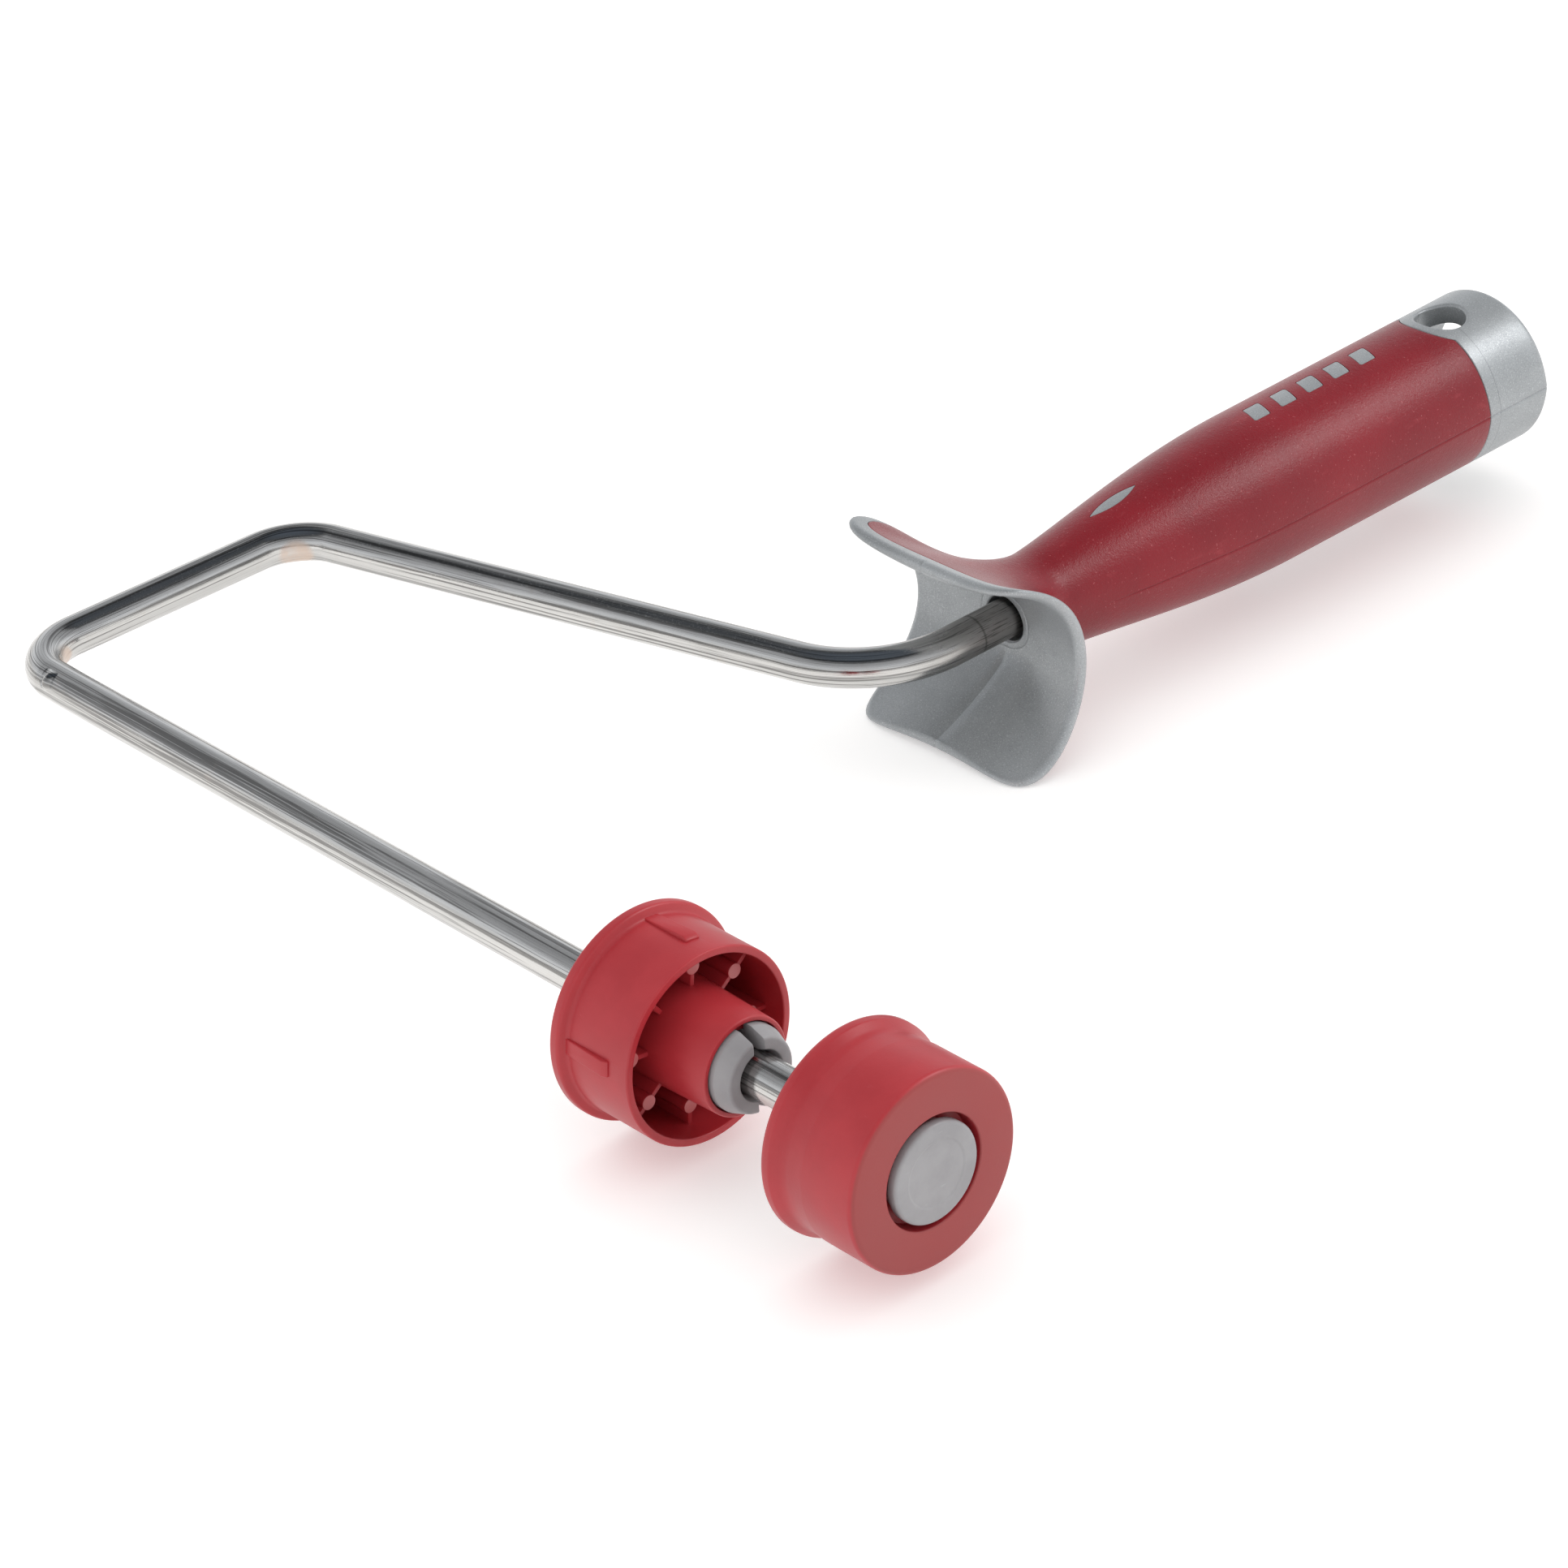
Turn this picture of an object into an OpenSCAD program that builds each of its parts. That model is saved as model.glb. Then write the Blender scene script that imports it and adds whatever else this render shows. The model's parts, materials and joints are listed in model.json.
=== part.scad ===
// Paint roller frame with a fixed bent-wire arm, two sleeve end caps and a soft-grip handle.
// Frame: +X along the axle towards its free end, +Y along the handle away from the roller,
// +Z square to the plane of the wire. The origin is on the axle, halfway along the front
// cap's cylindrical seat for the roller sleeve.

/* [Wire] */
// Diameter of the round steel rod
wire_d = 8; // [7.4:0.1:8]
// From the corner of the frame to the middle of the front cap's sleeve seat
axle_reach = 254; // [220:1:300]
// Length of the short side, between the two corners of the frame
side_len = 69; // [60:1:90]
// Distance from the axle to the bend where the arm turns into the handle
arm_reach = 105; // [100:1:110]
// Bend radius at the two corners, on the rod's centre line
corner_r = 13; // [10:1:20]
// Bend radius at the handle, on the rod's centre line
neck_bend_r = 24; // [16:1:30]
// Length of rod that sits inside the handle
embedded_len = 68; // [30:1:80]

/* [Sleeve caps] */
// Diameter of the caps' cylindrical seats
seat_d = 37; // [36:0.5:40]
// Diameter of the front cap's rear bead
bead_d = 39.4; // [38.6:0.2:42]
// Diameter of the rear cap's flange, which stops the sleeve
flange_d = 40.6; // [39:0.2:46]
// Length of the front cap
front_cap_len = 21; // [18:0.5:26]
// Length of the rear cap from its flange to its rim
rear_cup_len = 18.4; // [16:0.2:24]
// Length of the rear cap's hub
hub_len = 27.7; // [24:0.1:32]
// Wall thickness of the caps
cap_wall = 1.5; // [1.2:0.1:2.5]
// Position of the rear cap's flange face on the axle
rear_cap_x = -65; // [-80:1:-60]
// Number of radial ribs inside each cap
cap_ribs = 8; // [4:1:12]
// Number of raised grip ribs around the rear cap
grip_ribs = 4; // [3:1:8]

/* [Handle] */
// Distance from the axle's origin to the handle's centre line, towards the corner
handle_offset = 116.5; // [100:0.5:130]
// Distance from the axle to the guard's face around the rod
guard_face_y = 138; // [136:1:142]
// Distance from the axle to the open end of the handle
handle_end_y = 279.5; // [275:0.5:300]
// How far the handle's open end leans out of the rod's plane, in degrees
handle_tilt = 0.7; // [0:0.1:1]
// Radius of the grip where it is fullest
grip_r = 16.4; // [15.8:0.1:18]
// Radius of the handle at its open end
end_r = 16.8; // [16.2:0.1:18.5]
// Thickness of the soft cover
cover_t = 1.8; // [1.2:0.1:2]
// Radius of the socket for an extension pole
socket_r = 12.5; // [11:0.1:12.8]
// Depth of the socket for an extension pole
socket_depth = 46; // [35:1:50]
// Radius of the hanging hole
hang_r = 5.3; // [4:0.1:6]
// Number of slanted bars in the grey inlay
inlay_bars = 5; // [1:1:6]

/* [Hidden] */
$fn = 96;
run_gap = 0.05;               // radial clearance of a running fit
side_gap = 0.3;               // end play of a cap on its bush
wire_r = wire_d / 2;
bend_thin = 0.03;             // how much thinner the rod's radius is in a bend
bend_run = 1.5;               // degrees that a bend runs on into its straights
seat_r = seat_d / 2;
bush_r = 6.5;                 // outside radius of both bushes
bore_r = bush_r + run_gap;    // bore of both caps
handle_x = -handle_offset;
tilt_y = 150;                 // the handle leans about this point of its centre line
rod_end_x = 7.2;              // free end of the rod

// Guard: stations of the rim seen along the handle, and how far back each one lies
guard_side_x = 21.7;          // half width at the sides
guard_top_z = 19.4;           // half height at top and bottom
guard_corner = [22.6, 20];    // corner of the rim
guard_back = [137.6, 122.6, 119.1];   // y of the rim at side, corner and top
rim_shift = -0.65;            // how far the rim sits off the rod, towards the corner
edge_r = 1.3;                 // radius of the guard's rounded edge
dish_power = 1.7;             // how late the guard's face curves forward
mouth_ring = 6;               // flat ring around the rod on the guard's face
neck_y = 148;                 // where the guard's flare has run into the grip
neck_r = 10.5;                // the grip's smallest radius, just behind the guard
swell_len = 62;               // length over which the grip swells to its full radius
cover_start = 0.12;           // share of the guard's back left bare as a grey rim
sides = 48;                   // facets around the guard and the cover
swell_power = 1.2;            // how late the swell sets in
flare_pull = [6, 1, 10];      // how far the flare's two control points lie from its ends
collar_y = 261.3;             // rear end of the soft cover
scallop_y = 267;              // centre and radius of the bare ring around the hanging hole
scallop_r = 9.5;
hang_y = 265.3;
under_gap = 0.25;             // room between the core's barrel and the cover
inlay_shift = -0.2;           // how far the inlay sits beside the handle's centre line
steps = [neck_y, 154, 160, 166, 172, 178, 184, 190, 196, 203, 210];
barrel_full_y = 250;          // from here back the core's blank has its full radius

// ---------- shared helpers ----------

// Turns a profile drawn as [distance along +X, radius] into a solid around the X axis.
module turned_x(profile) {
    rotate([90, 0, 90]) rotate_extrude() polygon([for (p = profile) [p[1], p[0]]]);
}

// The same around the handle's centre line, with [distance along +Y, radius].
module turned_y(profile) {
    translate([handle_x, 0, 0]) rotate([-90, 0, 0])
        rotate_extrude() polygon([for (p = profile) [p[1], p[0]]]);
}

module rod_y(y0, y1, r) {
    translate([handle_x, y0, 0]) rotate([-90, 0, 0]) cylinder(r = r, h = y1 - y0);
}

module leaning() {
    translate([0, tilt_y, 0]) rotate([handle_tilt, 0, 0]) translate([0, -tilt_y, 0]) children();
}

// A lofted skin through rings of equal length; the ends are closed flat, or the last
// ring joins the first when the skin is a tube wall.
module loft(rings, tube = false) {
    n = len(rings[0]);
    m = len(rings);
    spans = tube ? m : m - 1;
    skin = [for (j = [0:spans - 1], i = [0:n - 1])
        let (k = (j + 1) % m, i2 = (i + 1) % n, a = j * n + i, b = j * n + i2,
             c = k * n + i2, d = k * n + i)
        each [[a, b, c], [a, c, d]]];
    caps = tube ? [] : [[for (i = [n - 1:-1:0]) i], [for (i = [0:n - 1]) (m - 1) * n + i]];
    polyhedron([for (r = rings) each r], concat(skin, caps));
}

// ---------- wire ----------

ear_tilt = 35;                // the ears lie this far round from the plane of the wire
p_corner = [-axle_reach, 0];
p_side = [-axle_reach, side_len];
p_neck = [handle_x, arm_reach];

function unit(v) = v / norm(v);
function turn(a, b, c) = acos(unit(a - b) * unit(c - b));        // angle inside the bend
function setback(a, b, c, r) = r / tan(turn(a, b, c) / 2);       // from apex to tangent point

module straight(p, q) {
    d = q - p;
    translate([p[0], p[1], 0]) rotate([0, 0, atan2(d[1], d[0])]) rotate([0, 90, 0])
        cylinder(r = wire_r, h = norm(d));
}

// Bend of radius r at apex b, between the directions of a and c. The rod thins a little
// where it is bent, and the bend runs on a little way inside the straights at both ends.
module bend(a, b, c, r) {
    u = unit(a - b);
    v = unit(c - b);
    centre = b + unit(u + v) * r / sin(turn(a, b, c) / 2);
    s = b + u * setback(a, b, c, r) - centre;
    e = b + v * setback(a, b, c, r) - centre;
    sweep = s[0] * e[1] - s[1] * e[0] > 0;
    first = sweep ? s : e;
    translate([centre[0], centre[1], 0]) rotate([0, 0, atan2(first[1], first[0]) - bend_run])
        rotate_extrude(angle = 180 - turn(a, b, c) + 2 * bend_run)
            translate([r, 0]) circle(r = wire_r - bend_thin);
}

module wire_frame() {
    p_tip = [rod_end_x, 0];
    p_in = [handle_x, guard_face_y + embedded_len];
    d_corner = setback(p_tip, p_corner, p_side, corner_r);
    d_side = setback(p_corner, p_side, p_neck, corner_r);
    d_neck = setback(p_side, p_neck, p_in, neck_bend_r);
    arm = unit(p_neck - p_side);
    color("silver") union() {
        straight(p_corner + [d_corner, 0], p_tip);
        bend(p_tip, p_corner, p_side, corner_r);
        straight(p_corner + [0, d_corner], p_side - [0, d_side]);
        bend(p_corner, p_side, p_neck, corner_r);
        straight(p_side + arm * d_side, p_neck - arm * d_neck);
        bend(p_side, p_neck, p_in, neck_bend_r);
        straight(p_neck + [0, d_neck], p_in);
        // Two ears pinched out of the rod stop the rear bush at the corner.
        translate([-axle_reach + corner_r + 2, 0, 0]) rotate([-ear_tilt, 0, 0])
            for (s = [-1, 1]) translate([0, s * (wire_r - 0.4), 0])
                rotate([0, 0, 45]) cube([2, 2, 3], center = true);
    }
}

// ---------- handle ----------

// Rim of the guard at parameter f, as [x, z] about the handle's centre line and its y.
function rim_x(f) = let (s = guard_side_x, c = guard_corner[0] * sqrt(2))
    (s + c) / 2 * cos(f) + (s - c) / 2 * cos(3 * f);
function rim_z(f) = let (t = guard_top_z, c = guard_corner[1] * sqrt(2))
    (t + c) / 2 * sin(f) + (c - t) / 2 * sin(3 * f);
function rim_y(f) = let (side = guard_back[0], corner = guard_back[1], top = guard_back[2],
    mean = (side + 2 * corner + top) / 4)
    mean + (side - top) / 2 * cos(2 * f) + (mean - corner) * cos(4 * f);
function rim_r(f) = norm([rim_x(f), rim_z(f)]);
function rim_dir(f) = [rim_x(f), rim_z(f)] / rim_r(f);

// The guard's middle surface: a power curve from the rod's mouth out to the rim.
function dish(f, s) = [mouth_ring + (rim_r(f) - mouth_ring) * s,
                       guard_face_y + edge_r + (rim_y(f) - guard_face_y - edge_r) * pow(s, dish_power)];
function dish_slope(f, s) = dish_power * pow(s, dish_power - 1)
    * (rim_y(f) - guard_face_y - edge_r) / (rim_r(f) - mouth_ring);
function tangent(f, s) = unit([1, dish_slope(f, s)]);
function normal(f, s) = let (t = tangent(f, s)) [-t[1], t[0]];
function front_at(f, s) = dish(f, s) - edge_r * normal(f, s);
function edge_at(f, a) = dish(f, 1) + edge_r * (sin(a) * normal(f, 1) + cos(a) * tangent(f, 1));

// Grip radius along the handle: a swelling curve, then a straight taper to the end.
function grip_at(y) = y < neck_y + swell_len
    ? neck_r + (grip_r - neck_r) * pow(sin(90 * (y - neck_y) / swell_len), swell_power)
    : grip_r + (end_r - grip_r) * (y - neck_y - swell_len) / (handle_end_y - neck_y - swell_len);

// Back of the guard: a Bezier flare from the rim's edge into the grip.
function flare(f, u) = let (
    p0 = edge_at(f, 90),
    p3 = [grip_at(neck_y), neck_y],
    p1 = p0 - flare_pull[0] * tangent(f, 1),
    p2 = p3 - [flare_pull[1], flare_pull[2]])
    pow(1 - u, 3) * p0 + 3 * pow(1 - u, 2) * u * p1 + 3 * (1 - u) * u * u * p2 + pow(u, 3) * p3;
function flare_normal(f, u) = let (d = unit(flare(f, min(1, u + 0.01)) - flare(f, u - 0.01)))
    [d[1], -d[0]];
// The core under the cover: sunk by the cover's thickness, which is least behind the guard.
function sink(u) = u < 0.6 ? 0.35 * cover_t : cover_t * min(1, 0.35 + (u - 0.6) * 2.6);
function core_flare(f, u) = flare(f, u) - sink(u) * flare_normal(f, u);

// A point of a ring about the handle; share says how much of the rim's shift it takes.
function place(f, q, share) = [handle_x + rim_shift * share + q[0] * rim_dir(f)[0], q[1],
    q[0] * rim_dir(f)[1]];
function front_ring(s) = [for (f = spokes) place(f, front_at(f, s), s)];
function edge_ring(a) = [for (f = spokes) place(f, edge_at(f, a), 1)];
function flare_ring(u) = [for (f = spokes) place(f, flare(f, u), 1 - u)];
function core_ring(u) = [for (f = spokes) place(f, core_flare(f, u), 1 - u)];
function grip_ring(y, depth = 0) = [for (f = spokes) place(f, [grip_at(y) - depth, y], 0)];
spokes = [for (i = [0:sides - 1]) 360 * i / sides];
covered = [cover_start, 0.24, 0.36, 0.48, 0.6, 0.72, 0.84];

module guard() {
    loft(concat(
        [for (s = [0:0.125:1]) front_ring(s)],
        [for (a = [-60:30:90]) edge_ring(a)],
        [flare_ring(cover_start)],
        [for (u = covered) core_ring(u)],
        [grip_ring(neck_y, cover_t)]));
}

// A lens and slanted bars, cut square through the handle, where the core shows as an inlay.
module inlay(grow = 0) {
    lens = [1.4 + grow, 6.5 + grow];  // half width and half length
    bar = [5.2, 4.4, -1.8];           // across the handle, along it, and the slant
    pitch = 7.8;
    w = bar[0] / 2 + grow;
    translate([handle_x + inlay_shift, 169, -20]) linear_extrude(40)
        polygon([for (s = [1, -1], t = [-1:0.2:0.9]) s * [lens[0] * (1 - t * t), lens[1] * t]]);
    for (k = [0:inlay_bars - 1])
        translate([handle_x + inlay_shift, 209 + pitch * k, -20]) linear_extrude(40)
            polygon([[-w, -grow], [w, bar[2] - grow], [w, bar[1] + bar[2] + grow],
                [-w, bar[1] + grow]]);
}

module scallop(grow = 0) {
    translate([handle_x, scallop_y, -30]) cylinder(r = scallop_r + grow, h = 60);
}

module core_barrel() {
    depth = cover_t + under_gap;
    difference() {
        turned_y(concat([[neck_y - 8, 0], [neck_y - 8, 6.5], [neck_y, 6.5]],
            [for (y = steps) [y, grip_at(y) - depth]],
            [[barrel_full_y, grip_at(barrel_full_y) - depth],
             [barrel_full_y, grip_at(barrel_full_y)],
             [handle_end_y - 1.5, end_r], [handle_end_y - 0.44, end_r - 0.44],
             [handle_end_y, end_r - 1.5], [handle_end_y, 0]]));
        difference() {
            turned_y([[barrel_full_y - 1, grip_at(barrel_full_y) - depth],
                [barrel_full_y - 1, end_r + 2], [collar_y, end_r + 2],
                [collar_y, grip_at(barrel_full_y) - depth]]);
            scallop();
        }
    }
}

module handle_core() {
    color("slategray") difference() {
        leaning() union() {
            guard();
            core_barrel();
            intersection() {
                inlay();
                turned_y(concat([[neck_y, 6]], [for (y = steps) [y, grip_at(y) + 0.05]],
                    [[254, grip_at(254) + 0.05], [254, 6]]));
            }
        }
        rod_y(guard_face_y - 1, guard_face_y + embedded_len + 0.2, wire_r);
        rod_y(guard_face_y - 1, guard_face_y + 4, wire_r + 0.9);
        leaning() rod_y(handle_end_y - socket_depth, handle_end_y + 1, socket_r);
        leaning() translate([handle_x, hang_y, -30]) cylinder(r = hang_r, h = 60);
    }
}

module handle_grip() {
    lengths = concat(steps, [236, collar_y - 0.1]);
    n = len(lengths);
    m = len(covered);
    color("firebrick") leaning() difference() {
        loft(concat(
            [for (u = covered) flare_ring(u)],
            [for (y = lengths) grip_ring(y)],
            [for (i = [n - 1:-1:0]) grip_ring(lengths[i], cover_t)],
            [for (i = [m - 1:-1:0]) core_ring(covered[i])]),
            tube = true);
        scallop(0.1);
        inlay(0.1);
    }
}

// ---------- rear cap and its bush ----------

module radial_ribs(x0, x1, r0, r1, t, count, phase) {
    for (k = [0:count - 1]) rotate([phase + 360 * k / count, 0, 0])
        translate([x0, r0, -t / 2]) cube([x1 - x0, r1 - r0, t]);
}

rib_phase = 37.5;
rib_t = 0.9;
web_t = 1.8;
hub_r = [10.2, 9.3];                         // hub radius at the web and at its end
pocket = [8.4, 1.5];                         // radius and depth of the hub's front pocket
rim_x1 = rear_cap_x + rear_cup_len;          // rim of the rear cup
hub_x1 = rear_cap_x + hub_len;               // front end of the rear cap's hub
rib_x1 = rim_x1 - 4.7;                       // front edges of the ribs inside the cup

module rear_cap() {
    x = rear_cap_x;
    flange_r = flange_d / 2;
    color("crimson") union() {
        turned_x([[x, bore_r], [x, flange_r - 0.9], [x + 0.5, flange_r - 0.2],
            [x + 1.2, flange_r], [x + 1.9, flange_r - 0.2], [x + 2.3, flange_r - 0.7],
            [x + 2.5, seat_r], [rim_x1 - 0.3, seat_r], [rim_x1, seat_r - 0.3],
            [rim_x1, seat_r - cap_wall], [x + web_t, seat_r - cap_wall - 0.2],
            [x + web_t, hub_r[0]], [hub_x1 - 0.4, hub_r[1]], [hub_x1, hub_r[1] - 0.4],
            [hub_x1, pocket[0]], [hub_x1 - pocket[1], pocket[0]],
            [hub_x1 - pocket[1], bore_r]]);
        radial_ribs(x + web_t - 0.2, rib_x1, hub_r[1], seat_r - cap_wall + 0.3, rib_t,
            cap_ribs, rib_phase);
        for (k = [0:cap_ribs - 1]) rotate([rib_phase + 360 * k / cap_ribs, 0, 0])
            translate([x + web_t - 0.2, 13.4, 0]) rotate([0, 90, 0])
                cylinder(r = 1.4, h = rib_x1 + 0.15 - x - web_t + 0.2);
        for (k = [0:grip_ribs - 1]) rotate([rib_phase + 45 + 360 * k / grip_ribs, 0, 0])
            translate([0, 0, -1.4]) linear_extrude(2.8) polygon([[x + 2, seat_r - 0.5],
                [x + 2, seat_r + 0.15], [x + 12.9, seat_r + 0.75], [x + 13.7, seat_r + 0.4],
                [x + 13.7, seat_r - 0.5]]);
    }
}

// A bush of bore r around the rod: a sleeve with a rear flange.
module rear_bush() {
    x = rear_cap_x;
    head_x = hub_x1 - pocket[1] + side_gap;
    nose_x = hub_x1 + 4.1;
    color("lightslategray") difference() {
        turned_x([[x - side_gap - 1.6, wire_r + run_gap], [x - side_gap - 1.6, 8],
            [x - side_gap - 1.2, 8.4], [x - side_gap, 8.4], [x - side_gap, bush_r],
            [head_x, bush_r], [head_x, 8.1], [hub_x1 + 0.9, 8.1], [nose_x - 0.5, 7.3],
            [nose_x, 6.7], [nose_x, wire_r + 0.9], [nose_x - 2, wire_r + run_gap]]);
        // The slots that part the snap head into two jaws
        translate([nose_x - 11, -1.2, -12]) cube([12, 2.4, 24]);
    }
}

// ---------- front cap, its bush and what closes the rod's end ----------

cap_x1 = 9;                                  // front face of the front cap
cap_x0 = cap_x1 - front_cap_len;             // rear edge of the front cap
recess_r = 10.5;
recess_x = 5.5;                              // floor of the recess in the front face

module front_cap() {
    x0 = cap_x0;
    bead_r = bead_d / 2;
    hub_x0 = x0 + 2;
    color("crimson") union() {
        turned_x([[x0, seat_r - cap_wall], [x0, bead_r - 0.6], [x0 + 0.5, bead_r - 0.1],
            [x0 + 1.1, bead_r], [x0 + 1.8, bead_r - 0.25], [x0 + 2.6, seat_r - 0.1],
            [x0 + 3.6, seat_r - 0.15], [x0 + 5, seat_r], [cap_x1 - 1, seat_r],
            [cap_x1 - 0.3, seat_r - 0.3], [cap_x1, seat_r - 1], [cap_x1, recess_r],
            [recess_x, recess_r], [recess_x, bore_r], [hub_x0, bore_r], [hub_x0, hub_r[1]],
            [recess_x - web_t, hub_r[0] + 1.9], [recess_x - web_t, recess_r + 1.8],
            [cap_x1 - web_t, recess_r + 1.8], [cap_x1 - web_t, seat_r - cap_wall]]);
        // Behind the recess's floor the ribs reach in to the hub.
        radial_ribs(hub_x0 + 3, recess_x - web_t + 0.2, hub_r[1] - 0.2, recess_r + 1,
            rib_t, cap_ribs, rib_phase);
        radial_ribs(hub_x0 + 3, cap_x1 - web_t + 0.2, recess_r + 0.9, seat_r - cap_wall + 0.3,
            rib_t, cap_ribs, rib_phase);
    }
}

module front_bush() {
    x0 = cap_x0 + 2 - side_gap;
    x1 = recess_x + side_gap;
    color("lightslategray") turned_x([[x0 - 1.6, wire_r], [x0 - 1.6, 8], [x0 - 1.2, 8.4],
        [x0, 8.4], [x0, bush_r], [x1, bush_r], [x1, 8.4], [x1 + 0.8, 8.4], [x1 + 0.8, wire_r]]);
}

// Spring-steel push nut with bent-up teeth that bite on the rod's end.
module retaining_ring() {
    x = recess_x + side_gap + 0.8;
    color("dimgray") difference() {
        turned_x([[x, wire_r], [x, 7.2], [x + 0.4, 7.2], [x + 0.5, 6], [x + 0.9, wire_r]]);
        for (k = [0:5]) rotate([60 * k + 30, 0, 0]) translate([x - 1, wire_r - 1, -0.4])
            cube([3, 2.6, 0.8]);
    }
}

module end_button() {
    x = recess_x + side_gap + 0.8;
    face = cap_x1 + 0.6;
    color("lightslategray") turned_x([[x, 7.3], [x, 8.3], [face - 1.9, 8.3], [face - 1.9, 9.3],
        [face - 0.7, 9.3], [face - 0.2, 9.1], [face, 8.6], [face, 0], [face - 1.9, 0],
        [face - 1.9, 7.3]]);
}

wire_frame();
handle_core();
handle_grip();
rear_cap();
rear_bush();
front_cap();
front_bush();
retaining_ring();
end_button();
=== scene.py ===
import json
import math

import bmesh
import bpy
import numpy as np
from mathutils import Matrix, Vector


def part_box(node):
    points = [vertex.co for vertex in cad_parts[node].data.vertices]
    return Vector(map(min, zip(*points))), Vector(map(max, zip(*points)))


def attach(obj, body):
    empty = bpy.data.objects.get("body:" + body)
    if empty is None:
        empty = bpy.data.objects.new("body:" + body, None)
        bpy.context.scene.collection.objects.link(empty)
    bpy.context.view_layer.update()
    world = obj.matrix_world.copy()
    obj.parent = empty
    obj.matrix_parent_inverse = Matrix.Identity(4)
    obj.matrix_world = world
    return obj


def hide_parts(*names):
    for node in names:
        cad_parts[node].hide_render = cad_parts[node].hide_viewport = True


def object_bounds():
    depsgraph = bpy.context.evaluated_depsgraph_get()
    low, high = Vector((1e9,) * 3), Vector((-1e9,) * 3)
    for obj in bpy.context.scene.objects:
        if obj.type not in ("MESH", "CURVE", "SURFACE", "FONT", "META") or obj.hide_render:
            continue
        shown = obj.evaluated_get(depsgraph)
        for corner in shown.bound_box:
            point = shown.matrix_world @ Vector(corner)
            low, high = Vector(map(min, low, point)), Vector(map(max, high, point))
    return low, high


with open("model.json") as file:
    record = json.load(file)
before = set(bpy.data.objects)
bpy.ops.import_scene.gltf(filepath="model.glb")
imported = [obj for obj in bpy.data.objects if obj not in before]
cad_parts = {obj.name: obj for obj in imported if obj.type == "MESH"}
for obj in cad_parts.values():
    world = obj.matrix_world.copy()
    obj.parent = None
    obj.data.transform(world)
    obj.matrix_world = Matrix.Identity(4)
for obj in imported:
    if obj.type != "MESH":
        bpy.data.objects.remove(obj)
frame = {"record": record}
cad_low, cad_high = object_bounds()

# Lengths are millimetres and angles degrees, until a mesh or a light is made.
MM = 0.001

# ---------- places and sizes ----------


def box_mm(node):
    """Lowest and highest corner of a CAD node."""
    low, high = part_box(node)
    return np.array(low) / MM, np.array(high) / MM


MOUNTS = {mount["name"]: mount for mount in frame["record"]["mounts"]}
WIRE_LOW, WIRE_HIGH = box_mm("wire_frame")
REAR_LOW, REAR_HIGH = box_mm("rear_cap")
FRONT_LOW, FRONT_HIGH = box_mm("front_cap")
REAR_BUSH_LOW, REAR_BUSH_HIGH = box_mm("rear_bush")
FRONT_BUSH_LOW, FRONT_BUSH_HIGH = box_mm("front_bush")
RING_LOW, RING_HIGH = box_mm("retaining_ring")
BUTTON_LOW, BUTTON_HIGH = box_mm("end_button")

SEAT_R = MOUNTS["front_sleeve_seat"]["dims"]["r_mm"]
SOCKET_R = MOUNTS["pole_socket"]["dims"]["r_mm"]
HOLE_R = MOUNTS["hanging_hole"]["dims"]["r_mm"]
HANDLE_X = MOUNTS["pole_socket"]["pos_m"][0] / MM
LEAN_COS, LEAN_SIN = MOUNTS["pole_socket"]["axis"][1:]

# Rod, and the ears that stop the rear bush
WIRE_R = 4.0
SIDE_LEN = 69.0
ARM_REACH = 105.0
CORNER_R = 13.0
NECK_BEND_R = 24.0
ROD_SIDES = 72
TIP_CHAMFER = 0.6
BEND_FLATTENING = 0.1
EAR_X = WIRE_LOW[0] + WIRE_R + CORNER_R + 2
EAR_TILT = 35
EAR_HEIGHT, EAR_HALF_LENGTH = 1.05, 1.4
HOLLOW_DEPTH, HOLLOW_HALF_LENGTH = 0.6, 0.7
EAR_HALF_WIDTH = 0.55  # radians around the rod
ROD_FIT = 0.03
FLAT_R = (2.6, 4.2)

# Handle before it leans: the guard's rim, the grip's swelling curve, the soft cover's ends
END_Y = 279.5
HOLE_Y = 265.3
LEAN_Y = 150.0
FACE_Y = 138.0
RIM_SIDE_X = 21.7
RIM_TOP_Z = 19.4
RIM_CORNER = (22.6, 20.0)
RIM_BACK = (137.6, 122.6, 119.1)
RIM_SHIFT = -0.65
DISH_POWER = 1.7
EDGE_R = 1.3
MOUTH_R = 6.0
NECK_Y = 148.0
NECK_R = 10.5
SWELL_LEN = 62.0
SWELL_POWER = 1.2
FLARE_PULL = (6.0, 1.0, 10.0)
GRIP_R = 16.4
END_R = 16.8
COVER_T = 1.8
COVER_START = 0.12
COLLAR_Y = 261.3
SCALLOP_Y = 267.0
SCALLOP_R = 9.5
SOCKET_DEPTH = 46.0
EMBEDDED = 68.0
GROOVE = 0.1
LIP = 0.25
END_ROUND = 1.5
SOCKET_ROUND = 0.8
BED_END_Y = 250.0
HOLE_ROUND = 0.7
VALLEY = ((6, 0.4), (1.2, 0.08))
RIDGE_START = 152.0
RIDGE_HEIGHT = 0.55
RIDGE_SPREAD = 16
SEAM_LINE = (0.6, 0.2)

# Inlays: the lens near the guard, then a row of slanted bars
INLAY_X = -0.2
LENS_Y = 169.0
LENS_HALF = (1.4, 6.5)
BARS = 5
BAR_HALF_WIDTH = 2.6
BAR_LENGTH = 4.4
BAR_SLANT = -1.8
BAR_PITCH = 7.8
BAR_START = 209.0
BAR_CORNER_R = 0.45

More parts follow.
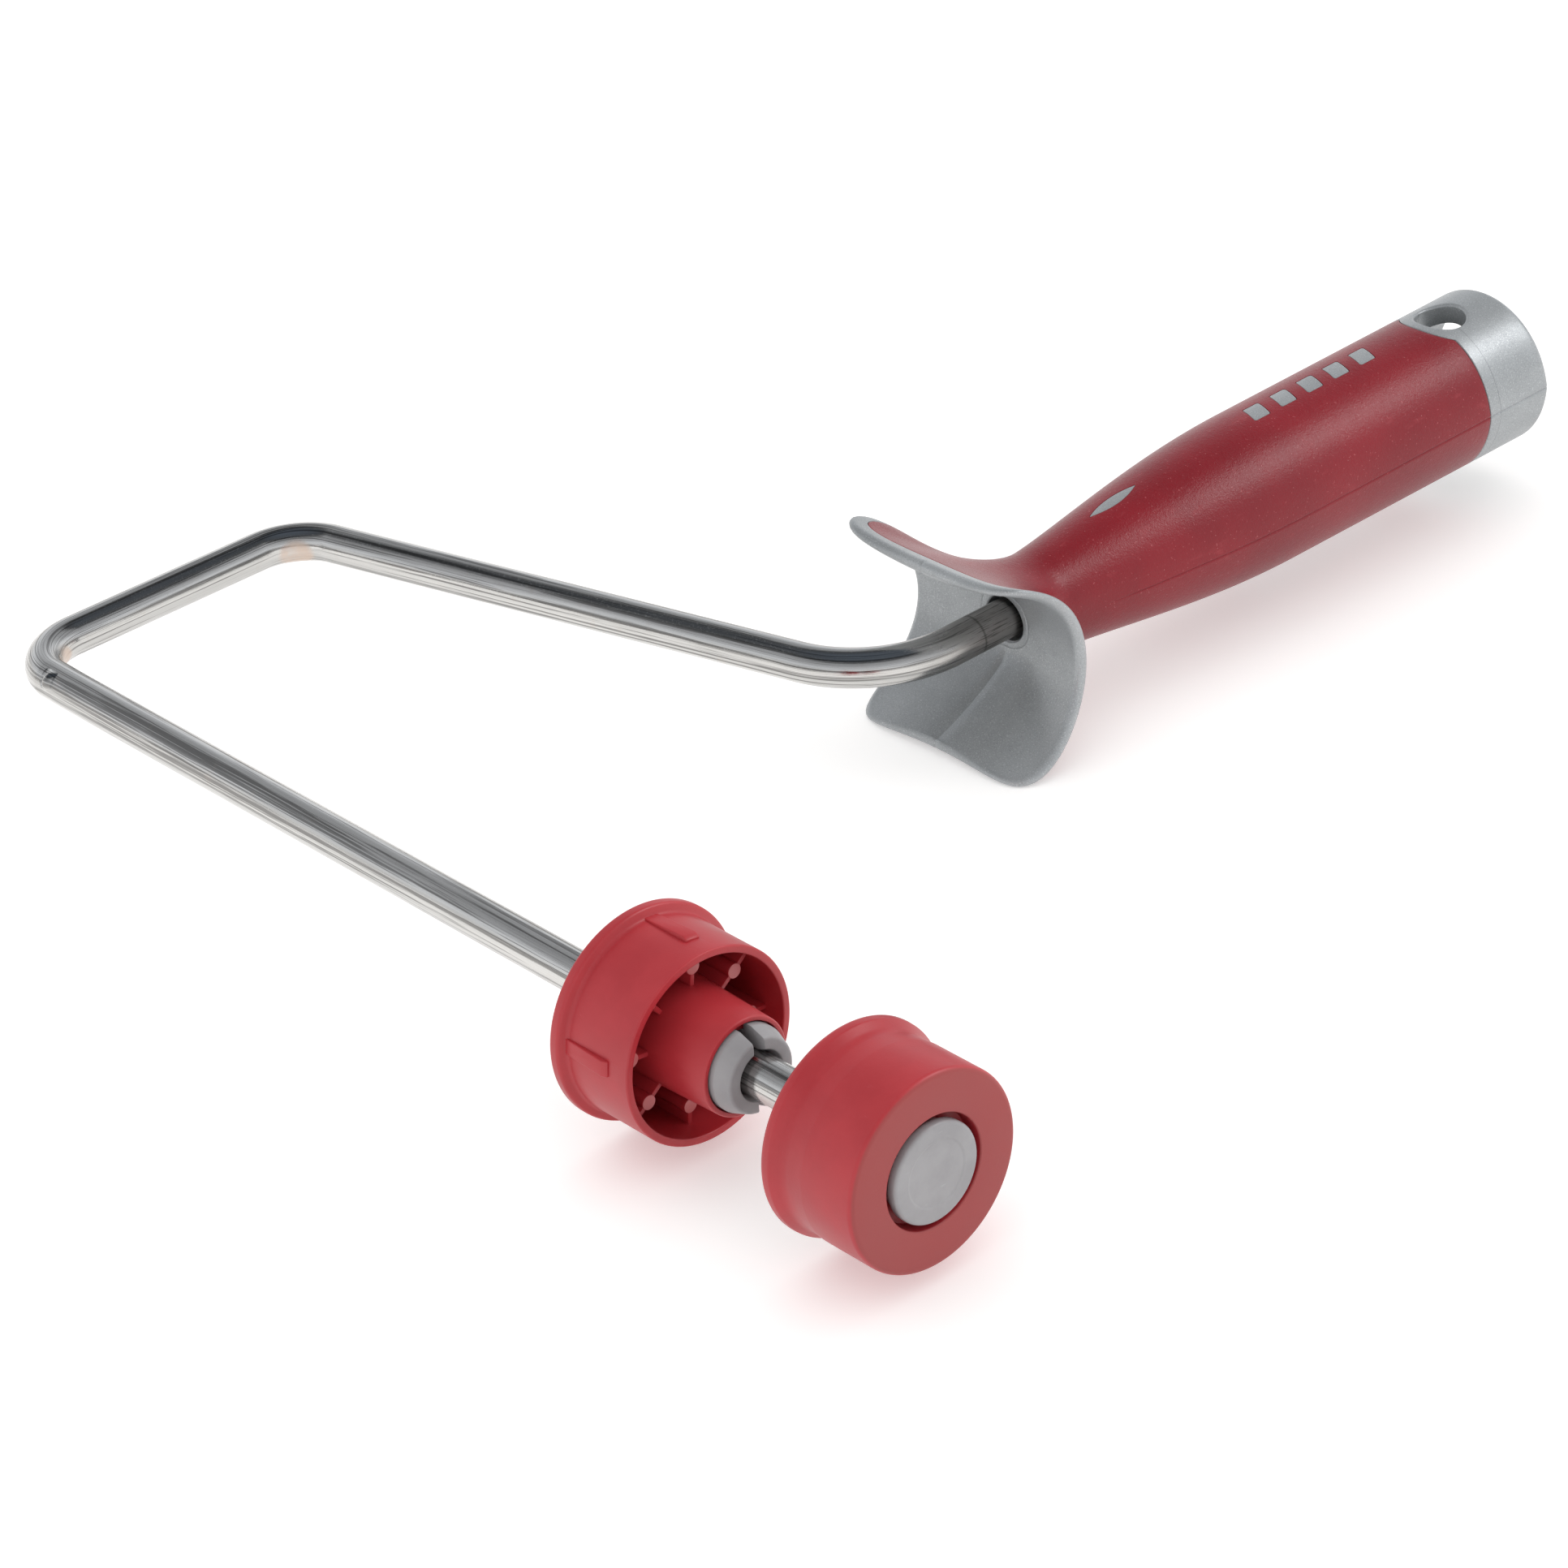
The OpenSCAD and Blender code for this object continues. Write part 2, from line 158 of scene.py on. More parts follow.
# Sleeve caps and bushes
FLANGE_R = REAR_HIGH[2]
BEAD_R = FRONT_HIGH[2]
CUP_LEN = 18.4
CAP_WALL = 1.5
WEB_T = 1.8
HUB_R = (10.2, 9.3)
BUSH_R = 6.5
BORE_R = 6.55
POCKET = (8.4, 1.5)
RIB_PHASE = 37.5
RIBS = 8
RIB_T = 0.9
RIB_ROOT = 0.3
RIB_DROP = 4.7
PAD_R = 1.45
PAD_AT = 13.4
PAD_RISE = 0.15
GRIP_RIBS = 4
GRIP_RIB_START, GRIP_RIB_END = 2.0, 13.7
GRIP_RIB_HALF = 1.5
GRIP_RIB_RISE = (0.3, 0.85)
RECESS_R = 10.5
RECESS_FLOOR = 3.5
RECESS_WALL_R = RECESS_R + 1.8
CAP_STEPS = 224
BUSH_FLANGE_R = 8.4
BUSH_FLANGE_T = 1.6


# ---------- mesh helpers ----------


SHARP = math.radians(38)


def shade(obj):
    """Smooth faces, with sharp edges by angle."""
    obj.data.shade_smooth()
    obj.data.set_sharp_from_angle(angle=SHARP)
    return obj


def finish_mesh(obj):
    """Makes the normals point outwards, and shades the faces."""
    mesh = bmesh.new()
    mesh.from_mesh(obj.data)
    bmesh.ops.recalc_face_normals(mesh, faces=mesh.faces)
    mesh.to_mesh(obj.data)
    mesh.free()
    return shade(obj)


def mesh_object(name, verts, faces):
    data = bpy.data.meshes.new(name)
    data.from_pydata([tuple(v) for v in np.asarray(verts, float) * MM], [], faces)
    data.update()
    obj = bpy.data.objects.new(name, data)
    bpy.context.scene.collection.objects.link(obj)
    return finish_mesh(obj)


def loft_faces(m, n, closed=False):
    """Faces of a skin through m rings of n points; open ends get flat caps."""
    faces = [
        (j * n + i, j * n + (i + 1) % n, (j + 1) % m * n + (i + 1) % n, (j + 1) % m * n + i)
        for j in range(m if closed else m - 1)
        for i in range(n)
    ]
    if not closed:
        faces += [tuple(reversed(range(n))), tuple(range((m - 1) * n, m * n))]
    return faces


def loft(name, rings, closed=False):
    faces = loft_faces(len(rings), len(rings[0]), closed)
    return mesh_object(name, np.concatenate(rings), faces)


def cosd(a):
    return np.cos(np.radians(a))


def sind(a):
    return np.sin(np.radians(a))


def unit(v):
    return v / np.linalg.norm(v, axis=-1, keepdims=True)


def corner_arc(last, point, following, radius):
    """The arc's centre, its start and end about that centre, and its sweep in radians."""
    u, v = unit(last - point), unit(following - point)
    half = math.acos(np.clip(u @ v, -1, 1)) / 2
    reach = radius / math.tan(half)
    centre = point + unit(u + v) * radius / math.sin(half)
    return centre, point + u * reach - centre, point + v * reach - centre, math.pi - 2 * half


def on_arc(centre, start, end, sweep, share):
    """The point at a share of the way along a corner's arc."""
    t = share * sweep
    return centre + (math.sin(sweep - t) * start + math.sin(t) * end) / math.sin(sweep)


def rounded(points, steps=6):
    """A closed outline of (a, b) or (a, b, radius) points, with arcs at the corners."""
    corners = [np.array(point[:2], float) for point in points]
    out = []
    for i, point in enumerate(points):
        if len(point) == 2:
            out.append(corners[i])
            continue
        arc = corner_arc(corners[i - 1], corners[i], corners[(i + 1) % len(points)], point[2])
        out += [on_arc(*arc, k / steps) for k in range(steps + 1)]
    return np.array(out)


def around_x(outline, angles):
    """Rings of an (x, radius) outline turned about the axle, one per angle from +Y to +Z."""
    a = np.radians(angles)
    return [
        np.stack([outline[:, 0], outline[:, 1] * math.cos(t), outline[:, 1] * math.sin(t)], 1)
        for t in a
    ]


def lathe(name, points, segments):
    """A turned ring around the axle, from an outline that doesn't touch the axis."""
    return loft(name, around_x(rounded(points), full_turn(segments)), closed=True)


def full_turn(count):
    """Angles evenly spaced around a circle."""
    return np.arange(count) * 360 / count


def boolean(obj, cutter, operation="DIFFERENCE"):
    """Cuts or joins obj with cutter, and removes the cutter."""
    step = obj.modifiers.new("cut", "BOOLEAN")
    step.operation = operation
    step.solver = "EXACT"
    step.use_self = operation == "UNION"
    step.object = cutter
    apply_modifiers(obj)
    bpy.data.objects.remove(cutter)
    return finish_mesh(obj)


def apply_modifiers(obj):
    depsgraph = bpy.context.evaluated_depsgraph_get()
    data = bpy.data.meshes.new_from_object(obj.evaluated_get(depsgraph))
    obj.modifiers.clear()
    obj.data = data


def join(target, *others):
    """Adds the meshes of the others to the target's mesh."""
    mesh = bmesh.new()
    for obj in (target, *others):
        mesh.from_mesh(obj.data)
    mesh.to_mesh(target.data)
    mesh.free()
    for obj in others:
        bpy.data.objects.remove(obj)
    return shade(target)


def bevel(obj, width, segments=3, limit=50):
    """Rounds the edges that are sharper than limit."""
    step = obj.modifiers.new("bevel", "BEVEL")
    step.width = width * MM
    step.segments = segments
    step.limit_method = "ANGLE"
    step.angle_limit = math.radians(limit)
    apply_modifiers(obj)
    return finish_mesh(obj)


def prism(name, outline, half, place):
    """An outline in the plane of place's first two axes, extruded half each way."""
    rings = [[place @ Vector((*p, h)) for p in outline] for h in (-half, half)]
    return mesh_object(name, np.concatenate(rings), loft_faces(2, len(outline)))


def turn_x(angle):
    """x along the axle, y outwards from it, at an angle from +Y towards +Z."""
    return Matrix.Rotation(math.radians(angle), 4, "X")


# ---------- rod ----------


def rod_route():
    """The rod's ends and the apexes of its bends."""
    corner_x = WIRE_LOW[0] + WIRE_R
    route = [(WIRE_HIGH[0], 0), (corner_x, 0), (corner_x, SIDE_LEN),
             (HANDLE_X, ARM_REACH), (HANDLE_X, FACE_Y + EMBEDDED)]
    return [np.array(p, float) for p in route]


def rod_bends():
    """The arcs of the rod's three bends."""
    route = rod_route()
    radii = (CORNER_R, CORNER_R, NECK_BEND_R)
    return [corner_arc(*corner) for corner in zip(route, route[1:], route[2:], radii)]


def centre_line():
    """Points along the rod from its tip to its end, and how strongly each one is bent."""
    route = rod_route()
    points, bends = [route[0]], [0.0]

    def straight_to(q, spacing=1.6):
        p = points[-1]
        count = max(2, int(np.linalg.norm(q - p) / spacing))
        for k in range(1, count + 1):
            points.append(p + (q - p) * k / count)
            bends.append(0.0)

    for centre, start, end, sweep in rod_bends():
        straight_to(centre + start)
        count = int(math.degrees(sweep) / 1.5)
        for k in range(1, count + 1):
            points.append(on_arc(centre, start, end, sweep, k / count))
            bends.append(math.sin(math.pi * k / count) ** 0.5)
    straight_to(route[-1])
    return np.array(points), np.array(bends)


def refine(points, bends, where, reach, spacing):
    """Closer points along the axle, around x = where."""
    near = (np.abs(points[:, 0] - where) < reach) & (points[:, 1] < 1)
    first, last = np.flatnonzero(near)[[0, -1]]
    count = int(np.linalg.norm(points[last] - points[first]) / spacing)
    t = np.linspace(0, 1, count + 1)[:, None]
    fine = points[first] * (1 - t) + points[last] * t
    points = np.concatenate([points[:first], fine, points[last + 1:]])
    bends = np.concatenate([bends[:first], np.zeros(len(fine)), bends[last + 1:]])
    return points, bends


def ear_relief(angles, along):
    """How far the rod's skin moves near the ears: the tool pushes them out beside a hollow."""
    relief = np.zeros(len(angles))
    for side in (0, math.pi):
        turn = (angles - side + math.radians(EAR_TILT) + math.pi) % (2 * math.pi) - math.pi
        across = np.clip(1 - (turn / EAR_HALF_WIDTH) ** 2, 0, 1)
        ear = max(0, 1 - ((along - 0.3) / EAR_HALF_LENGTH) ** 2)
        hollow = max(0, 1 - ((along + 1.3) / HOLLOW_HALF_LENGTH) ** 2)
        relief += across * (EAR_HEIGHT * ear - HOLLOW_DEPTH * hollow)
    return relief


def build_rod():
    """The bent rod, a little flattened in its bends, with two ears pinched out of it."""
    points, bends = refine(*centre_line(), EAR_X, 4, 0.16)
    steps = np.linalg.norm(np.diff(points, axis=0), axis=1)
    lengths = np.concatenate([[0], np.cumsum(steps)])
    directions = unit(np.gradient(points, lengths, axis=0))
    angles = np.arange(ROD_SIDES) * 2 * math.pi / ROD_SIDES
    rings = []
    for p, d, bend, length in zip(points, directions, bends, lengths):
        radius = WIRE_R - BEND_FLATTENING * bend * np.cos(angles) ** 2
        radius -= max(0, TIP_CHAMFER - min(length, lengths[-1] - length))
        if p[1] < 1 and abs(p[0] - EAR_X) < 2:
            radius += ear_relief(angles, p[0] - EAR_X)
        offsets = np.stack([d[1] * np.cos(angles), -d[0] * np.cos(angles), np.sin(angles)], 1)
        rings.append(np.array([p[0], p[1], 0]) + offsets * radius[:, None])
    rod = loft("rod", rings)
    # Round the rod in x and along it in y, in metres, for the drawn lines of the steel
    layer = rod.data.uv_layers.new(name="along")
    for face in rod.data.polygons:
        places = {i % ROD_SIDES for i in face.vertices}
        wraps = len(face.vertices) == 4 and places >= {0, ROD_SIDES - 1}
        for loop in face.loop_indices:
            ring, place = divmod(rod.data.loops[loop].vertex_index, ROD_SIDES)
            angle = 2 * math.pi if wraps and place == 0 else angles[place]
            layer.data[loop].uv = (angle * WIRE_R * MM, lengths[ring] * MM)
    return rod


# ---------- handle ----------


def rim(f):
    """The guard's rim as x, z about the handle's centre line, and y."""
    side, corner = RIM_SIDE_X, RIM_CORNER[0] * math.sqrt(2)
    x = (side + corner) / 2 * cosd(f) + (side - corner) / 2 * cosd(3 * f)
    top, corner = RIM_TOP_Z, RIM_CORNER[1] * math.sqrt(2)
    z = (top + corner) / 2 * sind(f) + (corner - top) / 2 * sind(3 * f)
    side, corner, top = RIM_BACK
    mean = (side + 2 * corner + top) / 4
    y = mean + (side - top) / 2 * cosd(2 * f) + (mean - corner) * cosd(4 * f)
    return x, z, y


def spoke_angles():
    """Rim parameters whose directions are even, and closer together at the seams."""
    even = np.arange(0, 360, 1.5)
    extra = [s + d for s in (0, 90, 180, 270) for d in (-2.2, -0.75, -0.35, 0.35, 0.75, 2.2)]
    wanted = np.unique(np.round(np.concatenate([even, np.array(extra) % 360]), 3))
    fine = np.linspace(0, 360, 3601)
    x, z, _ = rim(fine)
    directions = np.unwrap(np.arctan2(z, x))
    return np.interp(np.radians(wanted), directions, fine)


SPOKES = spoke_angles()
RIM_X, RIM_Z, RIM_Y = rim(SPOKES)
RIM_R = np.hypot(RIM_X, RIM_Z)
DIR = np.stack([RIM_X, RIM_Z], 1) / RIM_R[:, None]
TURN = np.degrees(np.arctan2(DIR[:, 1], DIR[:, 0]))
SIDE_TURN = np.minimum(np.abs(TURN), 180 - np.abs(TURN))
TOP_TURN = np.abs(np.abs(TURN) - 90)


def lean(points):
    """Turns points of the upright handle about the rod's axle direction, out of its plane."""
    x, y, z = np.asarray(points, float).T
    y = y - LEAN_Y
    return np.stack([x, LEAN_Y + LEAN_COS * y - LEAN_SIN * z, LEAN_SIN * y + LEAN_COS * z], 1)


def upright_ring(q, share=0.0):
    """Points at [radius, y] along every spoke; share is how much of the rim's shift they take."""
    q = np.asarray(q) * np.ones((len(SPOKES), 2))
    x = HANDLE_X + RIM_SHIFT * share + q[:, 0] * DIR[:, 0]
    return np.stack([x, q[:, 1], q[:, 0] * DIR[:, 1]], 1)


def ring3(q, share=0.0):
    return lean(upright_ring(q, share))


def dish(s):
    y = FACE_Y + EDGE_R + (RIM_Y - FACE_Y - EDGE_R) * s**DISH_POWER
    return np.stack([MOUTH_R + (RIM_R - MOUTH_R) * s, y], 1)


def dish_tangent(s):
    rise = DISH_POWER * s ** (DISH_POWER - 1)
    slope = rise * (RIM_Y - FACE_Y - EDGE_R) / (RIM_R - MOUTH_R)
    return unit(np.stack([np.ones_like(slope), slope], 1))


def left_of(t):
    return np.stack([-t[:, 1], t[:, 0]], 1)


def dent(turn, width, depth):
    """A round-bottomed groove along a spoke direction, as a depth for each spoke."""
    return depth * np.exp(-((turn / width) ** 2))


def front_at(s):
    """The guard's face, with a soft valley up and down from the rod."""
    fold = sum(dent(TOP_TURN, *groove) for groove in VALLEY) * min(1, s * 4)
    return dish(s) - (EDGE_R - fold[:, None]) * left_of(dish_tangent(s))


def edge_at(a, notch=0.16):
    t = dish_tangent(1)
    radius = EDGE_R - dent(TOP_TURN, 0.8, notch)[:, None]
    return dish(1) + radius * (sind(a) * left_of(t) + cosd(a) * t)


def grip_at(y):
    """Radius of the grip at y: a swelling curve, then a straight taper."""
    swell = np.clip((y - NECK_Y) / SWELL_LEN, 0, 1)
    taper = np.clip((y - NECK_Y - SWELL_LEN) / (END_Y - NECK_Y - SWELL_LEN), 0, 1)
    return NECK_R + (GRIP_R - NECK_R) * sind(90 * swell) ** SWELL_POWER + (END_R - GRIP_R) * taper


def ridge(y):
    """The two moulded halves meet at the sides in a low ridge with a fine line in it."""
    fade = np.clip((y - RIDGE_START) / 14, 0, 1)
    crown = RIDGE_HEIGHT * np.exp(-SIDE_TURN / RIDGE_SPREAD)
    return fade * (crown - dent(SIDE_TURN, *SEAM_LINE))


def flare(u):
    """Back of the guard: a Bezier from the rim's edge into the grip."""
    p0 = edge_at(90, 0.0)
    p3 = np.array([NECK_R, NECK_Y])
    p1 = p0 - FLARE_PULL[0] * dish_tangent(1)
    p2 = p3 - np.array(FLARE_PULL[1:])
    return (1 - u) ** 3 * p0 + 3 * (1 - u) ** 2 * u * p1 + 3 * (1 - u) * u * u * p2 + u**3 * p3


def flare_normal(u):
    d = unit(flare(min(1, u + 0.01)) - flare(u - 0.01))
    return np.stack([d[:, 1], -d[:, 0]], 1)


def flare_ring(u, depth=0.0):
    return ring3(flare(u) - depth * flare_normal(u), 1 - u)


def sink(u):
    """Depth of the core under the cover, least behind the guard."""
    return COVER_T * (0.35 if u < 0.6 else min(1, 0.35 + (u - 0.6) * 2.6))


def collar_edge(grow=0.0):
    """Where the soft cover ends: straight round the handle, with a scallop above the hole."""
    x = np.abs(DIR[:, 0]) * grip_at(COLLAR_Y)
    radius = SCALLOP_R + grow
    bow = SCALLOP_Y - np.sqrt(np.clip(radius**2 - x**2, 0, None))
    return np.where(x < radius, np.minimum(COLLAR_Y - grow, bow), COLLAR_Y - grow)


def grip_ring(y, depth=0.0, seam=True):
    y = y * np.ones(len(SPOKES))
    r = grip_at(y) - depth + (ridge(y) if seam else 0)
    return ring3(np.stack([r, y], 1))


def core_loft():
    """The hard core: guard, hidden barrel, collar and pole socket as one skin."""
    bore, mouth, mouth_round = WIRE_R + ROD_FIT, WIRE_R + 0.9, 0.5
    # The rod's bore stays upright; the rest leans with the handle.
    rings = [upright_ring(q) for q in (
        (bore, FACE_Y + EMBEDDED), (bore, FACE_Y + 5), (mouth, FACE_Y + 4),
        (mouth, FACE_Y + mouth_round))]
    for a in np.linspace(0, 90, 6)[1:]:
        rings.append(ring3((mouth + mouth_round * (1 - cosd(a)),
                            FACE_Y + mouth_round * (1 - sind(a)))))
    # A fine ring around the mouth, then the dish
    for s, lift in ((0.0, 0), (0.02, 0), (0.03, 0.09), (0.04, 0)):
        rings.append(ring3(front_at(s) + np.array([0, lift]), s))
    rings += [ring3(front_at(s), s) for s in np.linspace(0.06, 1, 46)]
    rings += [ring3(edge_at(a), 1) for a in np.linspace(-80, 90, 18)]
    rings += [flare_ring(u) for u in np.linspace(0.01, COVER_START - 0.012, 9)]
    # Step down to the bed of the soft cover
    rings += [flare_ring(COVER_START - 0.006, depth) for depth in (0.02, 0.1, 0.35)]
    rings += [flare_ring(u, sink(u)) for u in np.linspace(COVER_START, 0.94, 14)]
    bed = COVER_T + 0.05
    rings += [grip_ring(y, bed, False) for y in np.linspace(NECK_Y, BED_END_Y, 20)]
    edge = collar_edge()
    rings.append(grip_ring(edge, bed, False))
    for a in np.linspace(0, 90, 5):
        rings.append(grip_ring(edge + LIP * (1 - cosd(a)), LIP * (1 - sind(a))))
    # Collar, with a rounded end
    for t in np.linspace(0.02, 1, 25):
        rings.append(grip_ring(edge + LIP + (END_Y - END_ROUND - edge - LIP) * t))
    for a in np.linspace(0, 90, 8)[1:]:
        radius = END_R + ridge(END_Y) - END_ROUND * (1 - cosd(a))
        y = (END_Y - END_ROUND * (1 - sind(a))) * np.ones(len(SPOKES))
        rings.append(ring3(np.stack([radius, y], 1)))
    for a in np.linspace(0, 90, 6):
        rings.append(ring3((SOCKET_R + SOCKET_ROUND * (1 - sind(a)),
                            END_Y - SOCKET_ROUND * (1 - cosd(a)))))
    floor_y = END_Y - SOCKET_DEPTH
    rings += [ring3((SOCKET_R, y)) for y in np.linspace(END_Y - 2, floor_y + 1, 12)]
    rings += [ring3((SOCKET_R - 0.3, floor_y + 0.3)), ring3((SOCKET_R - 1, floor_y))]
    return loft("handle_body", rings)


def hole_cutter():
    """Cutter for the hanging hole, with rounded edges that follow the collar's surface."""
    turn = full_turn(96)
    # How far above the collar's surface, and how much wider than the hole
    profile = [(1.2, HOLE_ROUND + 0.95), (0.03, HOLE_ROUND + 0.1)]
    for a in np.linspace(12, 90, 8):
        profile.append((-HOLE_ROUND * (1 - cosd(a)), HOLE_ROUND * (1 - sind(a))))
    rings = []
    for side in (1, -1):
        level = []
        for height, grow in profile:
            x, y = (HOLE_R + grow) * cosd(turn), HOLE_Y + (HOLE_R + grow) * sind(turn)
            level.append(on_grip(x, y, side, height))
        rings += level[::side]
    return loft("hole_cutter", rings)


def on_grip(x, y, side, height):
    """Points above the grip's top or bottom, at x from its centre line and y along it."""
    z = side * (np.sqrt(grip_at(y) ** 2 - x**2) + height)
    return lean(np.stack([HANDLE_X + x, y, z], 1))


def lens_outline(grow):
    """A slim lens with pointed ends, near the guard."""
    half, reach = LENS_HALF[0] + grow, LENS_HALF[1] + grow
    t = np.linspace(-1, 1, 41)[:-1]
    side = np.stack([half * (1 - t * t), reach * t], 1)
    return np.concatenate([side, -side]) + (INLAY_X, LENS_Y)


def bar_outline(k, grow):
    half, y, top = BAR_HALF_WIDTH + grow, BAR_START + BAR_PITCH * k, BAR_LENGTH + grow
    corners = [(-half, y - grow), (half, y + BAR_SLANT - grow),
               (half, y + BAR_SLANT + top), (-half, y + top)]
    return rounded([(INLAY_X + x, v, BAR_CORNER_R) for x, v in corners], 5)


def outlines(grow=0.0):
    """The outlines of all the inlays on one side, grown for the cover's openings."""
    return [lens_outline(grow)] + [bar_outline(k, grow) for k in range(BARS)]


def dense(outline, spacing=0.35):
    """The outline with points no further apart than spacing."""
    out = []
    for p, q in zip(outline, np.roll(outline, -1, axis=0)):
        count = max(1, int(np.ceil(np.linalg.norm(q - p) / spacing)))
        out += [p + (q - p) * k / count for k in range(count)]
    return np.array(out)


def inlay_plate(outline, side):
    """A plate of the core that shows through the cover, flush with the grip."""
    outline = dense(outline)
    centre = outline.mean(0)
    # Shares of the way from the centre to the outline, and depths below the grip
    steps = [(share, 0) for share in np.linspace(0.02, 0.9, 9)]
    steps += [(0.955, 0), (0.985, 0.03), (1, 0.12), (1, 1.2)]
    rings = []
    for share, depth in steps:
        x, y = (centre + (outline - centre) * share).T
        rings.append(on_grip(x, y, side, -depth))
    return loft("plate", rings)


def inlay_cutter(outline, side):
    low, high = (6, 24) if side > 0 else (-24, -6)
    verts = [(HANDLE_X + x, y, z) for z in (low, high) for x, y in outline]
    return mesh_object("cutter", lean(verts), loft_faces(2, len(outline)))


def build_core():
    core = boolean(core_loft(), hole_cutter())
    plates = [inlay_plate(outline, side) for outline in outlines() for side in (1, -1)]
    return join(core, *plates)


def build_cover():
    """The soft cover: a skin over the guard's back and the grip."""
    start, gap, end_round = COVER_START, 0.02, 0.3
    rings = [flare_ring(start, depth) for depth in (sink(start) - gap, 0.2, 0.08)]
    rings.append(flare_ring(start + 0.004, 0.02))
    rings += [flare_ring(u) for u in np.linspace(start + 0.012, 0.985, 44)]
    edge = collar_edge(GROOVE)
    # The last fifth of the grip bends into the scallop.
    for t in np.linspace(0, 1, 66):
        bow = (edge - end_round - COLLAR_Y) * np.clip((t - 0.8) / 0.2, 0, 1) ** 2
        rings.append(grip_ring(NECK_Y + (COLLAR_Y - NECK_Y) * t + bow))
    for a in np.linspace(20, 90, 4):
        rings.append(grip_ring(edge - end_round * (1 - sind(a)), end_round * (1 - cosd(a))))
    inside = COVER_T - gap
    rings.append(grip_ring(edge, inside, False))
    rings += [grip_ring(y, inside, False) for y in np.linspace(BED_END_Y, NECK_Y, 18)]
    rings += [flare_ring(u, sink(u) - gap) for u in np.linspace(0.94, start + 0.03, 12)]
    cover = loft("soft_cover", rings, closed=True)
    cutters = [inlay_cutter(outline, side) for outline in outlines(GROOVE) for side in (1, -1)]
    return boolean(cover, join(*cutters))


# ---------- sleeve caps ----------


def cap_rib(x0, x1, inner, outer, angle, thick=RIB_T):
    outline = [(x0, inner), (x1, inner), (x1, outer), (x0, outer)]
    return bevel(prism("rib", outline, thick / 2, turn_x(angle)), 0.12, 2)


def cap_pad(x0, x1, angle):
    """The round pad that an ejector pushed on, across a rib."""
    pad = rounded([(x0, 0.02), (x1, 0.02), (x1, PAD_R, 0.15), (x0, PAD_R)], 4)
    place = turn_x(angle) @ Matrix.Translation((0, PAD_AT, 0))
    rings = [np.array([place @ Vector(p) for p in ring]) for ring in around_x(pad, full_turn(32))]
    return loft("pad", rings, closed=True)


def grip_rib(x, angle):
    """A rib that rises out of the seat towards the cup's rim and grips the sleeve."""
    x0, x1, root = x + GRIP_RIB_START, x + GRIP_RIB_END, SEAT_R - 0.6
    low, high = GRIP_RIB_RISE
    outline = [(x0, root), (x1, root), (x1, SEAT_R + low), (x1 - 1, SEAT_R + high),
               (x0, SEAT_R + low)]
    return bevel(prism("rib", outline, GRIP_RIB_HALF, turn_x(angle)), 0.22)


def build_rear_cap():
    x, hub_x = REAR_LOW[0], REAR_HIGH[0]
    rim_x = x + CUP_LEN
    web_x = x + WEB_T
    rib_x = rim_x - RIB_DROP
    cup_r = SEAT_R - CAP_WALL
    pocket_r, pocket_x = POCKET[0], hub_x - POCKET[1]
    cap = lathe("rear_end_cap", [
        (x, BORE_R, 0.3), (x, FLANGE_R, 0.7), (x + 2.2, FLANGE_R, 0.7), (x + 2.9, SEAT_R, 0.9),
        (rim_x, SEAT_R, 0.35), (rim_x, cup_r, 0.3), (web_x, cup_r - 0.2, 0.8),
        (web_x, HUB_R[0], 0.8), (hub_x, HUB_R[1], 0.4), (hub_x, pocket_r, 0.15),
        (pocket_x, pocket_r, 0.15), (pocket_x, BORE_R, 0.15)], CAP_STEPS)
    parts = []
    for k in range(RIBS):
        angle = RIB_PHASE + 360 * k / RIBS
        root_x = web_x - RIB_ROOT
        parts.append(cap_rib(root_x, rib_x, HUB_R[1] - RIB_ROOT, cup_r + 0.4, angle))
        parts.append(cap_pad(root_x, rib_x + PAD_RISE, angle))
    for k in range(GRIP_RIBS):
        parts.append(grip_rib(x, RIB_PHASE + 45 + 360 * k / GRIP_RIBS))
    return boolean(cap, join(*parts), "UNION")


def build_front_cap():
    x0, x1 = FRONT_LOW[0], FRONT_HIGH[0]
    hub_x = x0 + 2
    floor_x = x1 - RECESS_FLOOR
    cup_r = SEAT_R - CAP_WALL
    web_x = x1 - WEB_T
    cap = lathe("front_end_cap", [
        (x0, cup_r, 0.3), (x0, BEAD_R, 1.1), (x0 + 2.2, BEAD_R - 0.1, 0.9),
        (x0 + 4.4, SEAT_R - 0.35, 3), (x0 + 9, SEAT_R, 5), (x1, SEAT_R, 1.1), (x1, RECESS_R, 0.35),
        (floor_x, RECESS_R, 0.3), (floor_x, BORE_R, 0.15), (hub_x, BORE_R, 0.15),
        (hub_x, HUB_R[1], 0.4), (floor_x - WEB_T, HUB_R[0] + 1.9, 0.5),
        (floor_x - WEB_T, RECESS_WALL_R, 0.3), (web_x, RECESS_WALL_R, 0.3),
        (web_x, cup_r, 0.5)], CAP_STEPS)
    parts = []
    for k in range(RIBS):
        # Each rib runs behind the recess's floor, then on outside the recess's wall.
        angle = RIB_PHASE + 360 * k / RIBS
        rib_x, floor_end, web_end = hub_x + 3, floor_x - WEB_T + RIB_ROOT, web_x + RIB_ROOT
        parts.append(cap_rib(rib_x, floor_end, HUB_R[1] - RIB_ROOT, RECESS_R + 1.2, angle))
        parts.append(cap_rib(rib_x, web_end, RECESS_R + 1, cup_r + 0.4, angle, RIB_T - 0.04))
    return boolean(cap, join(*parts), "UNION")


# ---------- bushes, push nut and end button ----------


